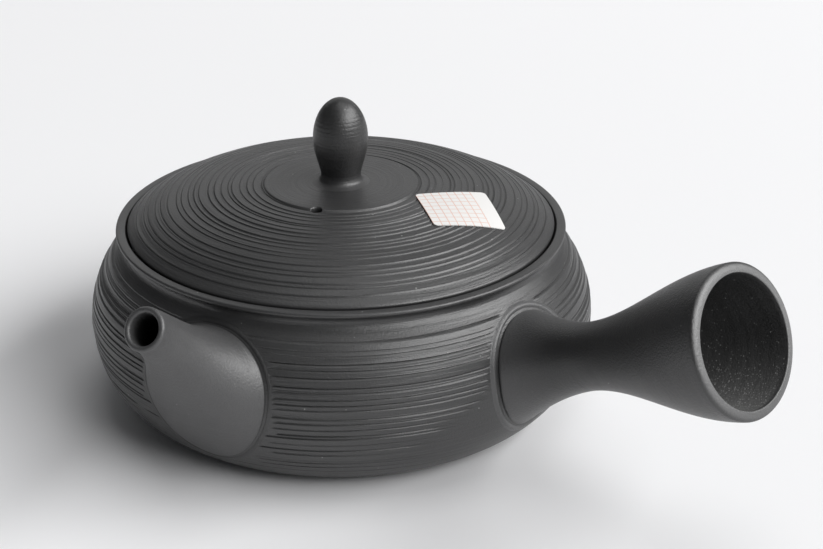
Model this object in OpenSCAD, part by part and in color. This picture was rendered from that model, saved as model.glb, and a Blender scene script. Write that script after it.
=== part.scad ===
// Side-handled teapot with a hollow handle, a luted spout and an inset lid.
// Origin at the middle of the foot on the table, +Z up, +X along the handle.

/* [Pot] */
// Greatest outer radius of the pot
body_r = 60; // [56:0.5:68]
// Height of the widest point above the table
belly_z = 22.6; // [19:0.2:26]
// Radius of the flat foot
foot_r = 41; // [34:0.5:46]
// Fullness of the curve from the foot to the belly
belly_power = 2.2; // [1.9:0.05:2.6]
// Height that the shoulder curve aims at over the mouth
shoulder_z = 42.9; // [41:0.1:45]
// Fullness of the shoulder curve
shoulder_power = 1.7; // [1.5:0.05:1.9]
// Thickness of the thrown wall
wall = 3; // [2.4:0.1:3.6]
// Thickness of the floor inside the foot
floor_t = 3.6; // [3:0.1:5]

/* [Rim and gallery] */
// Outer radius of the rim
rim_r = 53.2; // [51.6:0.1:54.1]
// Height of the rim's top
rim_z = 43.7; // [43:0.1:46]
// Width of the rim
rim_w = 2.3; // [1.9:0.1:2.7]
// Height of the lip's round outer edge
lip_h = 1.1; // [0.8:0.1:1.4]
// How far inside the rim the hollow of the cove aims
cove_in = 3.3; // [2.4:0.1:3.6]
// Drop from the rim's top to the height that the cove aims at
cove_drop = 2.9; // [2.4:0.1:3.4]
// Depth of the ledge below the rim's top
ledge_d = 2.5; // [2:0.1:3]
// Width of the ledge that carries the lid
ledge_w = 4; // [3:0.1:5]
// Narrowing of the recess from the rim down to the ledge
recess_taper = 1; // [0.4:0.1:1.2]
// Thickness of the ledge at the mouth
ledge_t = 2.4; // [2:0.1:3]

/* [Comb lines] */
// Drop from the rim's top to the first comb line on the pot
comb_drop = 6; // [5.4:0.1:9]
// Mean distance between comb lines on the pot, in height
comb_pitch = 1.4; // [1.2:0.05:2.4]
// Height of the lowest comb line
comb_end = 6.2; // [4:0.1:14]
// Width of one comb line
comb_w = 0.5; // [0.35:0.05:0.7]
// Depth of one comb line
comb_d = 0.2; // [0.1:0.05:0.4]
// How unevenly the comb lines lie, as a share of their pitch
comb_sway = 0.16; // [0:0.01:0.2]

/* [Spout] */
// Angle of the spout from the handle, seen from above
spout_angle = -75; // [-100:1:-60]
// Height of the middle of the spout's root
spout_z = 22.8; // [21:0.1:24]
// Radius of the spout's root on the pot
spout_root_r = 15.5; // [13.5:0.1:16]
// How much wider the root is above its middle than below, as a share
root_egg = 0.14; // [0:0.02:0.18]
// How far the tip's centre lies out from the pot's greatest radius
tip_out = 17.4; // [12:0.2:26]
// Height of the tip's centre
tip_z = 47.3; // [42:0.1:52]
// Tilt of the tip's mouth above level
tip_tilt = 33; // [25:1:45]
// Outer radius of the tip
tip_r = 4.8; // [4:0.1:6]
// Radius that the neck behind the tip draws in to
neck_r = 4.5; // [3.8:0.1:5]
// Radius of the pouring hole at the tip
tip_bore_r = 3.4; // [2.6:0.1:3.6]
// How far the root runs out from the pot before it bends to the tip
root_run = 7; // [4:0.5:10]
// How far the root's middle leans up over that run
root_lean = 9.5; // [0:0.5:11]
// How much the root draws in to its middle over that run, as a share
root_draw = 0.3; // [0.1:0.05:0.5]
// How far the draw is held back above the root's middle, as a share
root_full = 1.3; // [0:0.1:1.6]
// How far the bore runs out from the port before it bends to the tip
bore_run = 4; // [3:0.5:5]
// Length of the straight neck behind the tip
neck_run = 9; // [7:0.5:14]

/* [Strainer] */
// Radius of the port through the pot's wall behind the spout
port_r = 8.2; // [7.4:0.1:8.6]
// Height of the middle of the port
port_z = 26; // [25:0.1:27]
// Radius of the strainer's edge on the inner wall
strainer_r = 12; // [11:0.1:12.6]
// How far the strainer domes into the pot
strainer_rise = 7; // [6:0.2:8]
// Thickness of the strainer
strainer_t = 2.2; // [1.6:0.1:2.4]
// Radius of one strainer hole
sieve_r = 0.65; // [0.4:0.05:0.75]
// Angle between rings of strainer holes, seen from the dome's centre
sieve_step = 8.6; // [8:0.2:9]
// Rings of strainer holes round the middle one
sieve_rings = 4; // [2:1:4]

/* [Handle] */
// Rise of the handle above level
handle_rise = 24; // [15:1:30]
// Height at which the handle's axis meets the pot's axis
handle_z = 0; // [-2:0.2:4]
// How far along its axis the handle's root lies past the pot's greatest radius
root_out = 3.2; // [0:0.2:6]
// Radius of the handle at its root
root_r = 11.9; // [10.5:0.1:13]
// How far along the axis the waist lies past the pot's greatest radius
waist_out = 23.9; // [18:0.2:32]
// Radius of the handle at its waist
waist_r = 7.4; // [6.4:0.1:9]
// How far along the axis the open end lies past the pot's greatest radius
end_out = 65; // [52:0.5:90]
// Radius of the handle at its open end
end_r = 15.9; // [12:0.1:18]
// Thickness of the handle's wall
handle_wall = 2.2; // [1.8:0.1:2.8]
// Rounding of the open end's outer edge
end_round = 1.4; // [0.6:0.1:1.5]

/* [Lid] */
// Rise of the crown's middle over the lid's edge
crown_rise = 8.8; // [7:0.1:12]
// How flat the crown is before it falls to the edge
crown_power = 4.4; // [2.6:0.1:5]
// How far the lid's edge stands above the rim
lid_proud = 0.3; // [0:0.1:1]
// Thickness of the lid
lid_t = 3; // [2.4:0.1:3.6]
// Radial clearance of the lid in its recess and mouth
lid_gap = 0.4; // [0.3:0.05:0.6]
// Clearance between the lid and the ledge under it
seat_gap = 0.2; // [0.1:0.05:0.4]
// Depth of the lid's flange below the ledge
flange_d = 7; // [5:0.2:9]
// Thickness of the lid's flange
flange_w = 3; // [2.4:0.1:3.6]
// Radius of the smooth disc in the middle of the crown
disc_r = 18.2; // [14:0.1:20]
// Height of the disc over the crown around it
disc_h = 0.3; // [0.1:0.05:0.5]
// Mean distance between comb lines on the lid
lid_pitch = 1.54; // [1.3:0.02:2.4]
// Width of the smooth margin at the lid's edge
lid_margin = 2; // [1.4:0.1:4]
// Radius of the vent hole
vent_r = 1.3; // [1:0.1:1.6]
// Angle of the vent hole from the handle
vent_angle = -62; // [-90:1:-30]

/* [Knob] */
// Height of the knob over the disc
knob_h = 20.6; // [16:0.1:24]
// Greatest radius of the knob
knob_r = 6.45; // [5.5:0.05:8]
// Height of the widest point over the disc
knob_wide_h = 10.8; // [8.6:0.1:12]
// Radius of the neck under the knob
knob_neck_r = 4.7; // [3.6:0.1:5.2]
// Height of the neck over the disc
knob_neck_h = 2.3; // [1.8:0.1:3.2]
// Radius of the knob's foot on the disc
knob_foot_r = 5.7; // [5.3:0.1:8]
// How hollow the knob's foot is
knob_foot_power = 2.4; // [2:0.1:3]

/* [Label] */
// Length of the paper label
label_l = 17; // [12:0.5:20]
// Width of the paper label
label_w = 16.3; // [12:0.1:18]
// Thickness of the paper
label_t = 0.2; // [0.1:0.05:0.4]
// Place of the label's middle from the disc's edge out to the lid's edge, as a share
label_share = 0.393; // [0.36:0.001:0.42]
// Angle of the label's middle from the handle
label_angle = 17.8; // [-20:0.2:60]
// Turn of the label's length from the handle's direction
label_turn = 59.5; // [0:0.5:90]

/* [Hidden] */

$fn = 96;
clay = [0.27, 0.27, 0.28];
clay_smooth = [0.34, 0.34, 0.35];
paper = [0.93, 0.92, 0.9];

// Film of slip between two luted pieces
lute_gap = 0.1;
// Film of paste under the label
paste_gap = 0.05;

// Rim and mouth
lip_r = lip_h / 2;
lip_mid = [rim_r - lip_r, rim_z - lip_r];
// Rounding of the rim's inner edge
brim_r = 0.4;
ledge_z = rim_z - ledge_d;
recess_r = rim_r - rim_w;
mouth_r = recess_r - recess_taper - ledge_w;

// Lid
lid_r = recess_r - lid_gap;
edge_z = rim_z + lid_proud;
crown_z = edge_z + crown_rise;
disc_z = crown(disc_r) + disc_h;
flange_r = mouth_r - lid_gap;

// Reach of the spout and the handle from the pot's axis
tip_reach = body_r + tip_out;
root_at = body_r + root_out;
waist_at = body_r + waist_out;
end_at = body_r + end_out;

// Inner wall
inner_foot_r = foot_r - wall;
shelf_z = ledge_z - ledge_t;

function belly_curve(z, foot, low, r) =
    foot + (r - foot) * pow(1 - pow((belly_z - z) / (belly_z - low), belly_power), 1 / belly_power);
function shoulder_curve(z) =
    mouth_r + (body_r - mouth_r)
        * pow(1 - pow((z - belly_z) / (shoulder_z - belly_z), shoulder_power), 1 / shoulder_power);
// Outer radius of the smooth pot at a height
function outer_r(z) = z < belly_z ? belly_curve(max(z, 0), foot_r, 0, body_r) : shoulder_curve(z);
// Radius of the inner wall at a height
function inner_r(z) =
    z < belly_z ? belly_curve(max(z, floor_t), inner_foot_r, floor_t, body_r - wall) : shoulder_curve(z) - wall;
// Height of the lid's smooth crown at a radius
function crown(r) = crown_z - crown_rise * pow(r / lid_r, crown_power);
// Uneven place of comb line k in a row
function comb_place(k, pitch) = pitch * (k + comb_sway * (sin(k * 137) + sin(k * 61 + 40)));
function smooth(t) = t * t * (3 - 2 * t);
function arc(mid, r, from, to, steps) =
    [for (i = [0 : steps]) let (a = from + (to - from) * i / steps) mid + r * [cos(a), sin(a)]];

comb_top = rim_z - comb_drop;
cove_z = comb_top + comb_w;
comb_count = floor((comb_top - comb_end) / comb_pitch);
// Heights of the comb lines, from the lowest up
comb_rows = [for (k = [comb_count : -1 : 0]) comb_top - comb_place(k, comb_pitch)];
label_at = disc_r + label_share * (lid_r - disc_r);
lid_comb_out = lid_r - lid_margin;
lid_comb_count = floor((lid_comb_out - disc_r - 1) / lid_pitch);
// Radii of the comb lines on the lid, from the middle out
lid_comb_rows = [for (k = [lid_comb_count : -1 : 0]) lid_comb_out - comb_place(k, lid_pitch)];

// Outside of the pot from the foot to the last comb line, all smooth, or with its comb lines cut in
function pot_low() = [for (i = [0 : 8]) let (z = comb_end * pow(i / 9, 2)) [outer_r(z), z]];
function pot_comb() = [for (z = comb_rows) each [
    [outer_r(z - comb_w / 2), z - comb_w / 2],
    [outer_r(z) - comb_d, z],
    [outer_r(z + comb_w / 2), z + comb_w / 2]]];
function pot_plain(lift) = [for (i = [0 : 36]) let (z = cove_z * i / 36) [outer_r(z) + lift, z]];

// Hollow cove from the smooth shoulder up to the lip
function cove_line() =
    let (low = [outer_r(cove_z), cove_z], pull = [rim_r - cove_in, rim_z - cove_drop], high = lip_mid - [0, lip_r])
    [for (i = [0 : 8]) let (t = i / 9) pow(1 - t, 2) * low + 2 * t * (1 - t) * pull + t * t * high];

// Rim from the cove over the round lip and down to the mouth
function rim_line() = concat(
    cove_line(),
    arc(lip_mid, lip_r, -75, 90, 8),
    arc([recess_r + brim_r, rim_z - brim_r], brim_r, 90, 180, 4),
    [[recess_r - recess_taper, ledge_z], [mouth_r, ledge_z], [mouth_r, shelf_z]]);

// Inner wall from below the ledge down to the floor
function inner_line() =
    let (top = shelf_z - 2, n = 22)
    concat([for (i = [0 : n]) let (z = top - (top - floor_t) * smooth(i / n)) [inner_r(z), z]], [[0, floor_t]]);

module pot_solid(lift) {
    rotate_extrude() polygon(concat([[0, 0]], pot_plain(lift), [[0, cove_z]]));
}

module along_spout() {
    rotate([0, 0, spout_angle]) children();
}

module pot_body() color(clay) difference() {
    rotate_extrude() polygon(concat(
        [[0, 0]], pot_low(), pot_comb(), rim_line(), inner_line()));
    along_spout() translate([inner_r(port_z) - 2 * wall, 0, port_z])
        rotate([0, 90, 0]) cylinder(r = port_r, h = 4 * wall);
}

// A cubic curve with its two end points and two pulls
function bezier(a, b, c, d, t) =
    pow(1 - t, 3) * a + 3 * t * pow(1 - t, 2) * b + 3 * t * t * (1 - t) * c + pow(t, 3) * d;

// Point on the pot under the spout, at a sideways distance and a height
function on_pot(p) = let (out = outer_r(p[1]) + lute_gap) [sqrt(out * out - p[0] * p[0]), p[0], p[1]];
// Rings that the spout's skin and its bore start from, at angle a from the top
function skin_root(a) =
    [spout_root_r * sin(a) * (1 + root_egg * cos(a)), spout_z + spout_root_r * cos(a)];
function bore_root(a) = [port_r * sin(a), port_z + port_r * cos(a)];
// Point at angle a of a ring of radius r in the tip's mouth
function tip_point(r, a) =
    [tip_reach, 0, tip_z] + r * [-cos(a) * sin(tip_tilt), sin(a), cos(a) * cos(tip_tilt)];
tip_way = [cos(tip_tilt), 0, sin(tip_tilt)];
// Line of the skin or the bore from its root p on the pot to the tip, at angle a and place t
function spout_line(p, mid_z, run, full, neck, mouth, a, t) =
    let (s = on_pot(p), up = p[1] - mid_z, held = up - full * pow(max(up, 0), 2) / (2 * spout_root_r),
        out = [run, 0, 0] - root_draw * [0, p[0], held - root_lean])
    bezier(s, s + out, tip_point(neck, a) - neck_run * tip_way, tip_point(mouth, a), t);
function skin_point(a, t) = spout_line(skin_root(a), spout_z, root_run, root_full, neck_r, tip_r, a, t);
function bore_point(a, t) = spout_line(bore_root(a), port_z, bore_run, 0, neck_r - tip_wall, tip_bore_r, a, t);

tip_wall = tip_r - tip_bore_r;
spout_sides = 40;
spout_steps = 14;
spout_seats = 5;

// Rings of the spout: up the outside, over the lip, down the bore and back along the seam
function spout_ring(i, a) =
    let (n = spout_steps, back = 2 * n + 2)
    i <= n ? skin_point(a, i / n)
    : i == n + 1 ? tip_point(tip_r - tip_wall / 2, a) + tip_wall / 2 * tip_way
    : i <= back ? bore_point(a, (back - i) / n)
    : let (u = (i - back) / spout_seats) on_pot((1 - u) * bore_root(a) + u * skin_root(a));

module closed_rings(rings, sides) {
    m = len(rings);
    polyhedron(
        points = [for (ring = rings) each ring],
        faces = [for (i = [0 : m - 1], j = [0 : sides - 1])
            let (u = (i + 1) % m, v = (j + 1) % sides)
            each [[i * sides + j, i * sides + v, u * sides + v], [i * sides + j, u * sides + v, u * sides + j]]]);
}

module spout() color(clay_smooth) along_spout()
    closed_rings([for (i = [0 : 2 * spout_steps + 1 + spout_seats])
        [for (j = [0 : spout_sides - 1]) spout_ring(i, 360 * j / spout_sides)]], spout_sides);

// Strainer: a pierced dome on the inner wall over the port
dome_r = (strainer_r * strainer_r + strainer_rise * strainer_rise) / (2 * strainer_rise);
dome_at = inner_r(port_z) - strainer_rise + dome_r;

module inside_pot(shrink) {
    rotate_extrude() polygon(concat([[0, shelf_z - 2]], [for (p = inner_line()) [max(p[0] - shrink, 0), p[1]]]));
}

module sieve_holes() {
    for (ring = [0 : sieve_rings], k = [0 : max(6 * ring - 1, 0)])
        rotate([60 * k / max(ring, 1), 0, 0]) rotate([0, ring * sieve_step - 90, 0])
            translate([0, 0, dome_r - 1.5 * strainer_t]) cylinder(r = sieve_r, h = 2 * strainer_t);
}

module strainer() color(clay) difference() {
    intersection() {
        along_spout() translate([dome_at, 0, port_z]) sphere(r = dome_r);
        inside_pot(lute_gap);
    }
    along_spout() translate([dome_at, 0, port_z]) {
        sphere(r = dome_r - strainer_t);
        sieve_holes();
    }
}

// Radius of the handle at a distance along its axis
function handle_r(s) = s < waist_at
    ? waist_r + (root_r - waist_r) * pow((waist_at - s) / (waist_at - root_at), 1.6)
    : waist_r + (end_r - waist_r) * smooth((s - waist_at) / (end_at - waist_at));

module handle() color(clay) difference() {
    first = root_at - handle_wall * 4;
    last = end_at - end_round;
    step = (last - first) / 28;
    skin = [for (i = [0 : 28]) let (s = first + step * i) [handle_r(s), s]];
    bore = [for (i = [28 : -1 : 0]) let (s = first + step * i) [handle_r(s) - handle_wall, s]];
    mouth = handle_r(last) - handle_wall;
    translate([0, 0, handle_z]) rotate([0, 90 - handle_rise, 0]) rotate_extrude()
        polygon(concat(skin, arc([handle_r(last) - end_round, last], end_round, 15, 90, 5),
            [[mouth + 0.4, end_at], [mouth, end_at - 0.4]], bore));
    pot_solid(lute_gap);
}

module lid() color(clay) difference() {
    low = ledge_z + seat_gap;
    inner = flange_r - flange_w;
    tip = ledge_z - flange_d;
    rotate_extrude() polygon(concat(
        [[0, disc_z], [disc_r - disc_h, disc_z], [disc_r, crown(disc_r)]],
        [for (r = lid_comb_rows) each [
            [r - comb_w / 2, crown(r - comb_w / 2)], [r, crown(r) - comb_d], [r + comb_w / 2, crown(r + comb_w / 2)]]],
        [[lid_r - 0.5, crown(lid_r - 0.5)], [lid_r, edge_z - 0.4], [lid_r - recess_taper, low],
            [flange_r, low], [flange_r, tip + 1], [flange_r - 1, tip], [inner + 0.8, tip], [inner, tip + 0.8]],
        [for (i = [8 : -1 : 0]) let (r = inner * i / 8) [r, crown(r) - lid_t]]));
    rotate([0, 0, vent_angle]) translate([disc_r, 0, crown(disc_r) - 2 * lid_t])
        cylinder(r = vent_r, h = 4 * lid_t);
}

// Radius of the knob at a height over the disc
function knob_curve(h) =
    h < knob_neck_h ? knob_neck_r + (knob_foot_r - knob_neck_r) * pow(1 - h / knob_neck_h, knob_foot_power)
    : h < knob_wide_h
        ? knob_neck_r + (knob_r - knob_neck_r) * sin(90 * pow((h - knob_neck_h) / (knob_wide_h - knob_neck_h), 1.2))
    : knob_r * sqrt(max(1 - pow((h - knob_wide_h) / (knob_h - knob_wide_h), 2), 0));

module knob() color(clay) translate([0, 0, disc_z]) rotate_extrude()
    polygon(concat([[0, 0]],
        [for (i = [0 : 17]) let (h = knob_wide_h * pow(i / 18, 1.4)) [knob_curve(h), h]],
        [for (i = [0 : 12]) let (h = knob_wide_h + (knob_h - knob_wide_h) * sin(90 * i / 12)) [knob_curve(h), h]]));

module paper_label() color(paper) intersection() {
    rs = [for (i = [0 : 16]) disc_r + (lid_r - lid_margin - disc_r) * i / 16];
    rotate_extrude() polygon(concat(
        [for (r = rs) [r, crown(r) + paste_gap]],
        [for (i = [16 : -1 : 0]) [rs[i], crown(rs[i]) + paste_gap + label_t]]));
    rotate([0, 0, label_angle]) translate([label_at, 0, edge_z]) rotate([0, 0, label_turn - label_angle])
        translate([-label_l / 2, -label_w / 2, 0]) cube([label_l, label_w, 2 * crown_rise]);
}

pot_body();
spout();
strainer();
handle();
lid();
knob();
paper_label();
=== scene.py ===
"""Looks of a low round side-handled teapot in dark unglazed clay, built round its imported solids."""

import math

import bmesh
import bpy
import numpy as np
from bpy.props import FloatProperty, FloatVectorProperty, PointerProperty
from bpy.types import Operator, Panel, PropertyGroup
from mathutils import Matrix, Vector


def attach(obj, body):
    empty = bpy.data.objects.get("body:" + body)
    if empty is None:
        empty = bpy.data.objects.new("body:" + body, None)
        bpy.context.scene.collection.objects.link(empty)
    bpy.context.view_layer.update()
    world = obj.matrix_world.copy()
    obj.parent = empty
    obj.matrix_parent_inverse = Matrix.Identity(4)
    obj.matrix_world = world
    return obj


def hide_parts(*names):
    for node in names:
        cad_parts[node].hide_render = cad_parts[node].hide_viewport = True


bl_info = {
    "name": "Side-handled teapot",
    "version": (1, 0, 0),
    "blender": (4, 5, 0),
    "location": "View3D > Sidebar > Teapot",
    "description": "Builds a low round side-handled teapot in dark unglazed clay round its solids",
    "category": "Add Mesh",
}

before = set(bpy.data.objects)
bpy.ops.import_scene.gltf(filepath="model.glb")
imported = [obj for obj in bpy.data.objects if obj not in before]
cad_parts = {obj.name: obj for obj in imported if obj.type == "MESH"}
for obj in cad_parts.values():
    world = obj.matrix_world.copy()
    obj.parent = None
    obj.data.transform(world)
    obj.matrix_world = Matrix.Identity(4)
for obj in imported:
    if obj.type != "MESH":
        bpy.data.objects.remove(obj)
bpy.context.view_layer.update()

# Lengths are in millimetres where no other unit is named, and those of the pieces follow the solids
MM = 0.001
TURN = 2 * math.pi
QUARTER = math.pi / 2

# Pot
BODY_R, BELLY_Z, FOOT_R = 60.0, 22.6, 41.0
BELLY_POWER, SHOULDER_Z, SHOULDER_POWER = 2.2, 42.9, 1.7
WALL, FLOOR_T = 3.0, 3.6

# Rim and gallery
RIM_R, RIM_Z, RIM_W, LIP_H, BRIM_R = 53.2, 43.7, 2.3, 1.1, 0.4
COVE_IN, COVE_DROP = 3.3, 2.9
LEDGE_D, LEDGE_W, RECESS_TAPER, LEDGE_T = 2.5, 4.0, 1.0, 2.4
LIP_R = LIP_H / 2
LIP_MID = np.array([RIM_R - LIP_R, RIM_Z - LIP_R])
LEDGE_Z = RIM_Z - LEDGE_D
RECESS_R = RIM_R - RIM_W
MOUTH_R = RECESS_R - RECESS_TAPER - LEDGE_W
SHELF_Z = LEDGE_Z - LEDGE_T
# How far small edges are broken
SOFT = 0.3

# Comb lines
COMB_DROP, COMB_PITCH, COMB_END, COMB_SWAY, COMB_W = 6.0, 1.4, 6.2, 0.16, 0.5
COMB_TOP = RIM_Z - COMB_DROP
COVE_Z = COMB_TOP + COMB_W
# Height below which lines run out further from the roots, and the span over which this sets in
LOW_Z, LOW_SPAN = 25, 12
# Least depth of a line on the pot and on the lid, as a share of a full one, and shares of the terrace setting
POT_WEAKEST, LID_WEAKEST, POT_TILT, LID_TILT = 0.55, 0.75, 1.5, 0.9
# How strongly the lid's lines show
LID_SHOWN = 0.9
POT_SEED, LID_SEED, KNOB_SEED = 7, 23, 41

# Low ridges of throwing: height and pitch on the wall, on the floor and twice in the handle
WALL_RIDGE, WALL_RIDGE_PITCH, FLOOR_RIDGE, FLOOR_RIDGE_PITCH = 0.14, 4.2, 0.16, 5.2
BORE_RIDGE, BORE_RIDGE_PITCH, FINE_RIDGE, FINE_RIDGE_PITCH = 0.06, 2.6, 0.03, 1.1

# Clay smoothed by wiping round a root: nearest and farthest row as shares of its width, and depth of the
# seam's crease
COLLAR_NEAR, COLLAR_FAR, CREASE_D = 0.12, 1.15, 0.15
# Height and width of the collars as shares of the settings
SPOUT_COLLAR, HANDLE_COLLAR = (0.05, 1.0), (1.0, 1.45)

# Spout
SPOUT_ANGLE, SPOUT_Z, SPOUT_ROOT_R, ROOT_EGG = math.radians(-75), 22.8, 15.5, 0.14
TIP_REACH, TIP_Z, TIP_TILT = 77.4, 47.3, math.radians(33)
TIP_R, NECK_R, TIP_BORE_R = 4.8, 4.5, 3.4
ROOT_RUN, ROOT_LEAN, ROOT_DRAW, ROOT_FULL = 7.0, 9.5, 0.3, 1.3
BORE_RUN, NECK_RUN = 4.0, 9.0
PORT_R, PORT_Z = 8.2, 26.0
LUTE_GAP = 0.1
# Scratches beside the root's edge: how far off they lie, how deep they are and how wide
SCRATCHES, SCRATCH_D, SCRATCH_W = (1.7, 2.2, 2.9), 0.05, 0.16

# Handle
HANDLE_RISE, HANDLE_Z = math.radians(24), 0.0
ROOT_AT, ROOT_R, WAIST_AT, WAIST_R, WAIST_POWER = 63.2, 11.9, 83.9, 7.4, 1.6
END_AT, END_R, HANDLE_WALL, END_ROUND, MOUTH_ROUND = 125.0, 15.9, 2.2, 1.0, 0.25
HANDLE_WAY = np.array([math.cos(HANDLE_RISE), 0.0, math.sin(HANDLE_RISE)])
HANDLE_UP = np.array([-math.sin(HANDLE_RISE), 0.0, math.cos(HANDLE_RISE)])
HANDLE_SIDE = np.array([0.0, 1.0, 0.0])
# How many times wider than high the lip's outer rounding is
LIP_SLOPE = 1.7
# How far the potter set the root to the back of the handle's line
ROOT_ASIDE = 1.7
# How far along the handle the paler clay at its root reaches: partly slip left by wiping, partly a painted
# pool of light
WIPED_AND_LIT_REACH = 16

# Lid
CROWN_RISE, CROWN_POWER, LID_PROUD, LID_T = 8.8, 4.4, 0.3, 3.0
LID_GAP, SEAT_GAP, FLANGE_D, FLANGE_W = 0.4, 0.2, 7.0, 3.0
DISC_R, DISC_H, LID_PITCH, LID_MARGIN = 18.2, 0.3, 1.54, 2.0
VENT_R, VENT_ANGLE = 1.3, math.radians(-62)
LID_R = RECESS_R - LID_GAP
EDGE_Z = RIM_Z + LID_PROUD
CROWN_Z = EDGE_Z + CROWN_RISE
FLANGE_R = MOUTH_R - LID_GAP

# Knob
KNOB_H, KNOB_R, KNOB_WIDE_H, KNOB_POWER = 20.6, 6.45, 10.8, 1.2
KNOB_NECK_R, KNOB_NECK_H, KNOB_FOOT_R, KNOB_FOOT_POWER = 4.7, 2.3, 5.7, 2.4
# Clay, smoothed by wiping, that runs the knob's foot out into the disc
KNOB_FILLET = 1.1
# Height of the knob's turning lines
KNOB_LINE = 0.035

# Label
LABEL_L, LABEL_W, LABEL_T, PASTE_GAP = 17.0, 16.3, 0.2, 0.05
LABEL_SHARE, LABEL_ANGLE, LABEL_TURN = 0.393, math.radians(17.8), math.radians(59.5)
LABEL_AT = DISC_R + LABEL_SHARE * (LID_R - DISC_R)

# Counts of points round the pieces, and of the label's rings
POT_COLUMNS, SPOUT_COLUMNS, HANDLE_COLUMNS, LID_COLUMNS, KNOB_COLUMNS = 340, 160, 192, 320, 128
PORT_COLUMNS, VENT_COLUMNS, LABEL_RINGS = 96, 48, 22
# Counts of rows along the spout, the handle and each half of the knob, and powers that crowd them at the root
SPOUT_ROWS, HANDLE_ROWS, KNOB_ROWS = 72, 96, 60
SPOUT_CROWD, HANDLE_CROWD, KNOB_CROWD = 1.35, 1.25, 1.4

# Tones as shares of the clay's: painted shade in comb lines and on the spout's collar beside its crease,
# darker clay on the handle and on the knob
POT_GROOVE_SHADE, LID_GROOVE_SHADE, COLLAR_SHADE, HANDLE_TONE, KNOB_TONE = 0.25, 0.6, 0.8, 0.8, 0.55

# Camera: focal length and film width, its right and up directions, and its place
FOCAL, FILM = 78.74, 36.0
CAMERA_RIGHT = Vector((0.71974, 0.69423, 0.00315))
CAMERA_UP = Vector((-0.29109, 0.29766, 0.90921))
CAMERA_AT = Vector((285.82, -273.13, 209.66))

# Stage in metres: half the floor's width, and the height at which the lights aim
FLOOR_REACH, AIM_Z = 1.15, 0.025
# Level directions to the camera's right and away from it
RIGHT, AWAY = Vector((0.720, 0.694, 0)), Vector((-0.694, 0.720, 0))
# Each light's distance to the right, away and up, and its width and height
KEY_AT, TOP_AT, BACK_AT = (3.74, -1.36, 3.12), (0.3, 0.1, 2.6), (0.0, 1.2, 0.6)
KEY_SIZE, TOP_SIZE, BACK_SIZE = (7.0, 2.9), (1.6, 1.6), (1.8, 0.9)
SKY_TINT = (0.95, 0.97, 1.0, 1)


class ClayFinish(PropertyGroup):
    """Colours and surface of the fired clay."""

    dark: FloatVectorProperty(name="Dark clay", description="Clay where the smoke took most", subtype="COLOR",
                              default=(0.020, 0.020, 0.0204), min=0, max=1)
    light: FloatVectorProperty(name="Light clay", description="Clay where the smoke took least",
                               subtype="COLOR", default=(0.034, 0.034, 0.0345), min=0, max=1)
    smooth_dark: FloatVectorProperty(name="Dark spout", description="Darker tone of the smooth spout",
                                     subtype="COLOR", default=(0.042, 0.042, 0.0428), min=0, max=1)
    smooth_light: FloatVectorProperty(name="Light spout", description="Lighter tone of the smooth spout",
                                      subtype="COLOR", default=(0.064, 0.064, 0.065), min=0, max=1)
    # Painted shade: near black in the spout's bore
    inside: FloatVectorProperty(name="Spout bore shade", description="Painted shade in the spout's bore", subtype="COLOR",
                                default=(0.006, 0.006, 0.006), min=0, max=1)
    # Partly slip left by wiping and partly a painted pool of light: paler clay round the handle's root
    wiped: FloatVectorProperty(name="Wiped and lit clay", description="Clay that wiping left dull round a root, paler as painted light",
                               subtype="COLOR", default=(0.075, 0.075, 0.076), min=0, max=1)
    # Partly wear and partly a painted highlight on the handle's lip
    worn: FloatVectorProperty(name="Worn and highlit lip", description="Clay that wear has polished pale, with a painted highlight",
                              subtype="COLOR", default=(0.13, 0.13, 0.13), min=0, max=1)
    speck: FloatVectorProperty(name="Specks", description="Pale grains in the clay", subtype="COLOR",
                               default=(0.36, 0.36, 0.355), min=0, max=1)
    roughness: FloatProperty(name="Roughness", description="Mean roughness of the comb-turned clay",
                             subtype="FACTOR", default=0.42, min=0, max=1)
    smooth_roughness: FloatProperty(name="Spout roughness", description="Mean roughness of the smooth spout",
                                    subtype="FACTOR", default=0.45, min=0, max=1)
    gloss: FloatProperty(name="Gloss", description="How strongly the clay's skin reflects", subtype="FACTOR",
                         default=0.9, min=0, max=1)
    grain: FloatProperty(name="Grain depth", description="Height of the clay's grain", unit="LENGTH",
                         default=0.00009, min=0, max=0.001, precision=5)
    turning: FloatProperty(name="Turning depth", description="Height of the fine marks of turning",
                           unit="LENGTH", default=0.00020, min=0, max=0.001, precision=5)


class CombLines(PropertyGroup):
    """Lines that the comb left in the turning clay."""

    depth: FloatProperty(name="Depth", description="Depth of a full comb line", unit="LENGTH",
                         default=0.00025, min=0, max=0.0006, precision=5)
    width: FloatProperty(name="Width", description="Width of a comb line", unit="LENGTH",
                         default=0.00054, min=0.0003, max=0.001, precision=5)
    burr: FloatProperty(name="Burr", description="Height of the clay pushed up beside a line", unit="LENGTH",
                        default=0.00004, min=0, max=0.0002, precision=5)
    tilt: FloatProperty(name="Terrace", description="How far the bands between lines tip in or out",
                        unit="LENGTH", default=0.00009, min=0, max=0.0003, precision=5)
    wander: FloatProperty(name="Wander", description="How far a line strays from its height round the pot",
                          unit="LENGTH", default=0.00006, min=0, max=0.0004, precision=5)


class Seams(PropertyGroup):
    """Joints of the spout and the handle with the pot."""

    roll: FloatProperty(name="Edge roll", description="Radius of the rolled edge at a root", unit="LENGTH",
                        default=0.0006, min=0.0003, max=0.002, precision=5)
    collar_width: FloatProperty(name="Collar width", description="Width of the wiped clay round a root",
                                unit="LENGTH", default=0.0014, min=0.001, max=0.008, precision=5)
    collar_height: FloatProperty(name="Collar height", description="Height of the wiped clay round a root",
                                 unit="LENGTH", default=0.00032, min=0, max=0.001, precision=5)
    fade: FloatProperty(name="Line fade", description="Length over which a comb line runs out at a collar",
                        unit="LENGTH", default=0.0011, min=0.0005, max=0.008, precision=5)


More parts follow.
